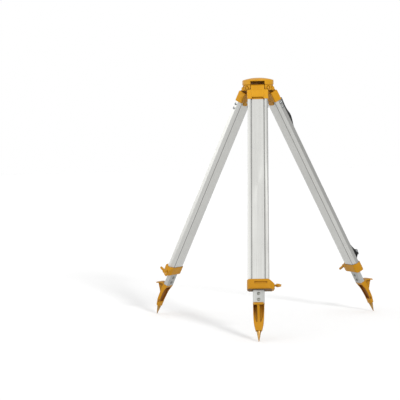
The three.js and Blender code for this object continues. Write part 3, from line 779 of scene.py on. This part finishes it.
def make_hinge_fasteners():
    """A bolt and a nut for each leg, sunk in the pockets and painted over."""
    for leg in LEGS:
        middle = STATION[leg] @ Matrix.Translation((0, -HINGE_AT, 0))
        place = middle @ Matrix.Rotation(math.radians(90), 4, "Y")
        bolt = chamfered_hex(radius=8.6, length=5.6)
        bmesh.ops.transform(bolt, matrix=Matrix.Translation((0, 0, SEAT)), verts=bolt.verts)
        revolve(bolt, [(0, -45.3), (4.2, -45.3), (5, -44.5), (5, 39), (0, 39)], 40)
        piece(f"hinge_bolt_body_{leg}", bolt, place, PAINT, "head", f"hinge_bolt_{leg}", 25)
        nut = carved(chamfered_hex(radius=8.8, length=5.6), [bar_tool((0, 0, -1), (0, 0, 7), 5.3)])
        turn = Matrix.Translation((0, 0, -SEAT)) @ Matrix.Rotation(math.radians(180), 4, "X")
        bmesh.ops.transform(nut, matrix=turn, verts=nut.verts)
        piece(f"hinge_nut_body_{leg}", nut, place, PAINT, "head", f"hinge_nut_{leg}", 25)


# ---- centring screw, in the head's frame ----
THREAD_PITCH = 25.4 / 11  # of a 5/8 inch instrument screw
THREAD_DEPTH = 1.4
THREAD_START = 4.0
THREAD_END = 37.2
THREAD_STEPS = 8  # rings to each turn
SCREW_RADIUS = 7.94
KNOB_RADIUS = 14.5
KNOB_BOTTOM = -62
HOOK_RADIUS = 5
HOOK_WIRE = 1.4
ARM_BOTTOM = -12.1
CARRIAGE_BORE = 6.48
CUP_BORE = 8.19


def thread_radius(height):
    """The radius of a right-hand thread at a height, as a function of the angle round it."""
    fade = min(1.0, (height - THREAD_START) / THREAD_PITCH, (THREAD_END - height) / 1.2)

    def radius(angle):
        phase = (height / THREAD_PITCH - angle / (2 * math.pi)) % 1.0
        crest = 1 - abs(2 * phase - 1)
        return SCREW_RADIUS - THREAD_DEPTH + THREAD_DEPTH * max(fade, 0.0) * min(1.0, crest * 1.15)

    return radius


def make_centring_screw():
    """A shank with a collar, a 5/8 inch thread and a flat end."""
    bm = bmesh.new()
    outline = [
        (0, -40), (5.6, -40), (6.4, -39.2), (6.4, -6.3), (12.4, -6.3), (13, -5.7), (13, -4), (12.4, -3.4),
        (SCREW_RADIUS - THREAD_DEPTH, -3.4),
    ]
    count = int((THREAD_END - THREAD_START) / THREAD_PITCH * THREAD_STEPS)
    for i in range(count + 1):
        height = THREAD_START + (THREAD_END - THREAD_START) * i / count
        outline.append((thread_radius(height), height))
    outline += [(6.1, 38), (0, 38)]
    revolve(bm, outline, 48)
    piece("centring_screw_body", bm, HEAD, BRASS, "screw", "centring_screw", 50)


def knob_radius(depth):
    """A grip outline with twelve shallow scallops, all of them depth below the full radius."""
    def radius(angle):
        scallop = max(0.0, math.cos(12 * angle)) ** 0.7
        return KNOB_RADIUS - depth - 1.3 * scallop

    return radius


def make_knob():
    """The scalloped grip at the foot of the screw."""
    bm = bmesh.new()
    revolve(bm, [
        (0, -54), (2.3, -54), (2.3, KNOB_BOTTOM), (10.5, KNOB_BOTTOM), (knob_radius(1.2), -61.7),
        (knob_radius(0.3), -60.7), (knob_radius(0.0), -59.2), (knob_radius(0.0), -39),
        (knob_radius(0.4), -37.2), (knob_radius(1.6), -36.2), (11, -36), (10.1, -35.6), (9.3, -31.5),
        (8.8, -31), (6.7, -31), (6.7, -40.3), (0, -40.3),
    ], 144)
    piece("screw_knob_body", bm, HEAD, PLASTIC, "screw", "screw_knob", 40)


def make_hook():
    """An open hook of round wire with a collar, under the knob."""
    points = [Vector((0, 0, -55)), Vector((0, 0, -60)), Vector((0, 0, -63.6))]
    middle = KNOB_BOTTOM - 8.5
    for degrees in range(78, -151, -12):
        a = math.radians(degrees)
        points.append(Vector((HOOK_RADIUS * math.cos(a), 0, middle + HOOK_RADIUS * math.sin(a))))
    bm = bmesh.new()
    wire(bm, curve(points, 3), HOOK_WIRE)
    revolve(bm, [(0, -66.5), (1.6, -66.5), (2, -66.1), (2, -55), (0, -55)], 28)
    piece("plumb_hook_body", bm, HEAD, STEEL, "screw", "plumb_hook", 40)


def make_turned_parts():
    """The rivet, carriage and cup washer of the centring arm."""
    low = ARM_BOTTOM
    rivet = bmesh.new()
    revolve(rivet, [
        (0, low - 3.2), (4.6, low - 3.2), (6, low - 2.5), (6.8, low - 0.9), (7, low), (4, low), (4, 4.9),
        (3.4, 5.5), (0, 5.5),
    ], 56, Matrix.Translation((0, PIVOT_AT, 0)))
    piece("arm_pivot_body", rivet, HEAD, STEEL, "head", "arm_pivot", 30)
    bush = bmesh.new()
    revolve(bush, [
        (CARRIAGE_BORE, low - 2), (10.5, low - 2), (11, low - 1.5), (11, low), (8.9, low), (8.9, -8.5),
        (12, -8.5), (12, -7.1), (11.5, -6.6), (CARRIAGE_BORE, -6.6),
    ], 72)
    piece("screw_carriage_body", bush, HEAD, BRASS, "carriage", "screw_carriage", 30)
    cup = bmesh.new()
    revolve(cup, [
        (CUP_BORE, -3.1), (11.6, -3.1), (12.6, -2.6), (15.4, 0.1), (15.5, 1.4), (15, 1.9), (13.7, 1.9),
        (CUP_BORE, -0.5),
    ], 72)
    piece("cup_washer_body", cup, HEAD, BRASS, "cup", "cup_washer", 30)


# ---- legs ----
TOP_BOLTS = (70, 88)  # down the leg
TOP_BOLT_OUT = 8
FOOT_BOLTS = (868.5, 891)
SPIKE_ROOT = Vector((0, -3.2, -1004))
SPIKE_TIP = Vector((0, 3.0, -1048.4))
SPIKE_CONE_START = 11.5  # along the spike from its root
SPIKE_CONE = (7.5, 1.3)  # radii at its two ends


def button_screw(half, shaft, radius, height, socket):
    """A screw along z with a domed, socketed head at each end."""
    bm = bmesh.new()
    dome = ((1.0, 0), (0.99, 0.25), (0.9, 0.62), (0.72, 0.88), (0.5, 1.0))
    upper = [(radius * r, half + height * h) for r, h in dome]
    lower = [(r, -z) for r, z in reversed(upper)]
    revolve(bm, [(0, -half - height), *lower, (shaft, -half), (shaft, half), *upper, (0, half + height)], 40)
    floor = half + height * 0.25
    above = half + height + 1
    tools = [bar_tool((0, 0, side * floor), (0, 0, side * above), socket, 6) for side in (-1, 1)]
    return carved(bm, tools)


def make_leg_fasteners(leg):
    """Two screws across the top fitting, and two from front to back through the foot."""
    across = Matrix.Rotation(math.radians(90), 4, "Y")
    through = Matrix.Rotation(math.radians(90), 4, "X")
    for number, s in enumerate(TOP_BOLTS, 1):
        place = LEG[leg] @ Matrix.Translation((0, -TOP_BOLT_OUT, -s)) @ across
        bm = button_screw(half=39.8, shaft=2.6, radius=5.2, height=2.6, socket=2.0)
        name = f"top_bolt_{number}_{leg}"
        piece(f"{name}_body", bm, place, STEEL, f"leg_{leg}", name, 30)
    for number, s in enumerate(FOOT_BOLTS, 1):
        place = LEG[leg] @ Matrix.Translation((0, 0, -s)) @ through
        bm = button_screw(half=10.3, shaft=3, radius=6, height=2, socket=2.4)
        name = f"foot_bolt_{number}_{leg}"
        piece(f"{name}_body", bm, place, DARK_STEEL, f"slide_{leg}", name, 30)


def make_spike(leg):
    """A shank in the foot, a collar under it and a cone with a blunt point."""
    along = SPIKE_TIP - SPIKE_ROOT
    length = along.length
    turn = Matrix.Translation(SPIKE_ROOT) @ along.to_track_quat("Z", "Y").to_matrix().to_4x4()
    start = SPIKE_CONE_START
    wide, narrow = SPIKE_CONE
    outline = [
        (0, -11.5), (3.8, -11.5), (4.4, -10.9), (4.4, start - 3.3), (7.8, start - 3.3), (8.3, start - 2.8),
        (8.3, start - 0.6), (7.8, start),
    ]
    for i in range(11):
        t = i / 10
        outline.append((wide + (narrow - wide) * t, start + (length - start - 0.7) * t))
    outline += [(0.7, length - 0.2), (0, length)]
    bm = bmesh.new()
    revolve(bm, outline, 64)
    body, node = f"slide_{leg}", f"spike_{leg}"
    piece(f"{node}_body", bm, LEG[leg] @ turn, SPIKE_STEEL, body, node, 30)


def make_legs():
    """Finishes the nodes of each leg, and adds its fasteners and spike."""
    for leg in LEGS:
        soften(dress(f"leg_top_{leg}", PAINT), voxel=0.85, rounds=5)
        soften(dress(f"clamp_{leg}", SHADED_LOW_PAINT[leg]), voxel=0.8, rounds=6)
        soften(dress(f"foot_{leg}", SHADED_LOW_PAINT[leg]), voxel=0.8, rounds=8)
        soften(dress(f"wing_screw_{leg}", SHADED_LOW_PAINT[leg]), voxel=0.5, rounds=7)
        crisp(dress(f"leg_tube_{leg}", TUBE[leg]), width=0.45)
        crisp(dress(f"slide_tube_{leg}", SLIDE[leg]), width=0.4)
        crisp(dress(f"slide_guide_{leg}", PLASTIC), width=0.5)
        crisp(dress(f"clamp_pad_{leg}", BRASS), width=0.4)
        make_leg_fasteners(leg)
        make_spike(leg)
    crisp(dress("centring_arm", STEEL), width=0.35)


# ---- carrying strap ----
STRAP_HALF = 19
STRAP_THICK = 2
STRAP_RIBS = 18
WIRE_RADIUS = 1.6
RAIL = 15.5  # how far the rails' outer face is from the leg's line
TOP_WIRE = (28.4, 59)  # (v, s) of the bar that each end of the strap goes round
LOW_WIRE = (23, 803)
TOP_PLATE = (86, 13)  # s and half height of the plate that holds each bar
LOW_PLATE = (806.5, 4)
STITCHES = (14.5, 77, 95)  # half width, upper and lower end
STITCH_SPACING = 3.4
STITCH_RADIUS = 0.32
STITCHED_FACE = 30.95  # v of the webbing at the upper end of the stitches
STITCHED_SLOPE = 0.03
# Turns a side view drawn as (v, s) so that it stands on the leg, and z runs across it.
SIDE_VIEW = Matrix(((0, 0, 1, 0), (-1, 0, 0, 0), (0, -1, 0, 0), (0, 0, 0, 1)))


def on_leg(v, s, x=0.0):
    """A point on a leg: v outward, s down and x across."""
    return Vector((x, -v, -s))


def strap_line():
    """The webbing's middle line: round the top wire, along the rail, and round the lower wire."""
    wrap = STRAP_THICK / 2 + 1.75
    diagonal = 1.9
    flat = RAIL + 1.3
    flat_start, flat_end = 226, 694
    v, s = TOP_WIRE
    top = [
        (27.1, 96), (27.6, 84), (26.6, 70), (v - wrap, s), (v - diagonal, s - diagonal), (v, s - wrap),
        (v + diagonal, s - diagonal), (v + wrap, s), (30.6, 68), (29.8, 76), (29.0, 92), (30, 112),
        (33.8, 132), (32, 152), (26, 176), (20.4, 198), (17.6, 212), (flat, flat_start),
    ]
    along = [(flat, flat_start + (flat_end - flat_start) * i / 12) for i in range(1, 12)]
    v, s = LOW_WIRE
    low = [
        (flat, flat_end), (18.4, 716), (23.4, 736), (27.2, 752), (33, 768), (35.4, 780), (34.4, 790),
        (30.6, 797.5), (v + wrap - 0.2, s - 0.6), (v + diagonal, s + diagonal), (v, s + wrap),
        (v - diagonal, s + diagonal), (v - wrap, s), (22.2, 795), (28.4, 786), (31.8, 778),
    ]
    return curve([on_leg(*point) for point in top + along + low], 5)


def strap_section():
    """The webbing's section, closed: rounded selvedges, and ribs on both faces."""
    half = STRAP_THICK / 2
    selvedge = [
        (STRAP_HALF - 0.5, half * 0.92), (STRAP_HALF, half * 0.4), (STRAP_HALF, -half * 0.4),
        (STRAP_HALF - 0.5, -half * 0.92),
    ]
    ribs = []
    for i in range(STRAP_RIBS + 1):
        x = STRAP_HALF - 1.5 - (2 * STRAP_HALF - 3) * i / STRAP_RIBS
        ribs.append((x, -half + 0.16 * (i % 2)))
    side = selvedge + ribs
    return side + [(-x, -y) for x, y in side]


def make_webbing():
    """The webbing's section, swept along its line."""
    line = strap_line()
    section = strap_section()
    across = Vector((1, 0, 0))
    bm = bmesh.new()
    rings = []
    for i, point in enumerate(line):
        ahead = line[min(i + 1, len(line) - 1)]
        tangent = (ahead - line[max(i - 1, 0)]).normalized()
        out = across.cross(tangent)
        rings.append([bm.verts.new(point + across * x + out * y) for x, y in section])
    skin(bm, rings)
    piece("strap_body", bm, LEG["right"], WEBBING, "leg_right", "strap_webbing", 60)


def make_stitch(bm, start, end):
    """Adds one thread that comes up at start, bows outward and goes in at end."""
    lift = Vector((0, -0.28, 0))
    middle = (start + end) / 2 + lift
    near, far = [p * 0.7 + middle * 0.3 + lift * 0.4 for p in (start, end)]
    wire(bm, [start - lift, near, middle, far, end - lift], STITCH_RADIUS, 8)


def make_stitching():
    """A box and cross of thread through both layers at the strap's upper end."""
    bm = bmesh.new()
    x, s0, s1 = STITCHES
    runs = (
        ((-x, s0), (x, s0)), ((x, s0), (x, s1)), ((x, s1), (-x, s1)), ((-x, s1), (-x, s0)),
        ((-x, s0), (x, s1)), ((x, s0), (-x, s1)),
    )
    for (xa, sa), (xb, sb) in runs:
        count = max(2, round(math.hypot(xb - xa, sb - sa) / STITCH_SPACING))
        for i in range(count):
            ends = []
            for t in ((i + 0.18) / count, (i + 0.82) / count):
                s = sa + (sb - sa) * t
                v = STITCHED_FACE - STITCHED_SLOPE * (s - s0)
                ends.append(on_leg(v, s, xa + (xb - xa) * t))
            make_stitch(bm, *ends)
    piece("strap_stitching", bm, LEG["right"], PLASTIC, "leg_right", None, 60)


def foot_plate(half, plate_half):
    """A plate with round corners and a rivet near each, or one at each side where it is narrow."""
    corner = 2.2
    outline = []
    for cx, cy, start in ((1, -1, -90), (1, 1, 0), (-1, 1, 90), (-1, -1, 180)):
        for i in range(5):
            a = math.radians(start + 22.5 * i)
            x = cx * (half + 3 - corner) + corner * math.cos(a)
            outline.append((x, cy * (plate_half - corner) + corner * math.sin(a)))
    plate = bmesh.new()
    prism(plate, outline, RAIL + 0.3, RAIL + 2.7)
    rims = [edge for edge in plate.edges if edge.calc_face_angle(0) > 1.2]
    bmesh.ops.bevel(plate, geom=rims, offset=0.4, segments=2, affect="EDGES")
    reach = max(plate_half - 6, 0)
    ends = (-1, 1) if reach else (0,)
    for side in (-1, 1):
        for end in ends:
            turn = Matrix.Translation((side * (half - 6), end * reach, RAIL + 2.6))
            revolve(plate, [(0, 0), (3, 0), (2.7, 0.7), (1.9, 1.25), (0.9, 1.5), (0, 1.55)], 28, turn)
    return plate


def make_wire_loop(node, wire_at, plate_at):
    """A wire loop that holds one end of the strap, with its riveted foot plate on the rails."""
    half = STRAP_HALF + 3
    v, s = wire_at
    plate_s, plate_half = plate_at
    foot_v = RAIL + WIRE_RADIUS
    bend = 1 if plate_s > s else -1
    left = [
        on_leg(foot_v, plate_s, -half), on_leg((foot_v + v) / 2, (plate_s + s) / 2, -half),
        on_leg(v - 1, s + bend, -half), on_leg(v, s, 3 - half),
    ]
    right = [Vector((-p.x, p.y, p.z)) for p in reversed(left)]
    bm = bmesh.new()
    wire(bm, curve([*left, on_leg(v, s), *right], 6), WIRE_RADIUS)
    plate = foot_plate(half, plate_half)
    stand = Matrix.Translation((0, 0, -plate_s)) @ Matrix.Rotation(math.radians(90), 4, "X")
    bmesh.ops.transform(plate, matrix=stand, verts=plate.verts)
    mesh = bpy.data.meshes.new("plate")
    plate.to_mesh(mesh)
    plate.free()
    bm.from_mesh(mesh)
    bpy.data.meshes.remove(mesh)
    piece(f"{node}_body", bm, LEG["right"], STEEL, "leg_right", node, 35)


def make_buckle():
    """A ladder-lock buckle: two cheeks, three cross bars, and steel plates on its cheeks and front."""
    bm = bmesh.new()
    bars = ((37.4, 771.5, 1.9), (30.9, 783.5, 1.6), (37.6, 791.5, 1.9))
    for v, s, radius in bars:
        wire(bm, curve([on_leg(v, s, x) for x in (-21, -7, 7, 21)], 4), radius, 16)
    cheek = [(30.4, 770.5), (39.4, 769.6), (40.6, 773), (40.4, 787), (38.4, 793.4), (31, 793), (30, 788)]
    for side in (-1, 1):
        made = prism(bm, cheek, side * 20.9 - 1.6, side * 20.9 + 1.6)
        bmesh.ops.transform(bm, matrix=SIDE_VIEW, verts=made)
    body = piece("strap_buckle_body", bm, LEG["right"], PLASTIC, "leg_right", "strap_buckle", 60)
    soften(body, voxel=0.4, rounds=5)
    plate = bmesh.new()
    side_plate = [(33.4, 769.6), (40.2, 768.9), (41.2, 773), (40.8, 780.4), (36, 781.2), (33.2, 776)]
    for side in (-1, 1):
        prism(plate, side_plate, side * 22.7 - 0.5, side * 22.7 + 0.5)
    prism(plate, [(37.9, 769.8), (40.2, 771.2), (40.9, 781.5), (39.6, 782.2)], -18.6, 18.6)
    bmesh.ops.transform(plate, matrix=SIDE_VIEW, verts=plate.verts)
    bmesh.ops.bevel(plate, geom=list(plate.edges), offset=0.35, segments=2, affect="EDGES")
    piece("strap_buckle_plate", plate, LEG["right"], STEEL, "leg_right", None, 30)


def make_strap():
    """The webbing, its stitches, the two loops that hold it and its buckle."""
    make_webbing()
    make_stitching()
    make_wire_loop("strap_loop_top", TOP_WIRE, TOP_PLATE)
    make_wire_loop("strap_loop_bottom", LOW_WIRE, LOW_PLATE)
    make_buckle()


add_camera()
add_lights()
add_floor()
make_head()
make_hinge_fasteners()
make_centring_screw()
make_knob()
make_hook()
make_turned_parts()
make_legs()
make_strap()
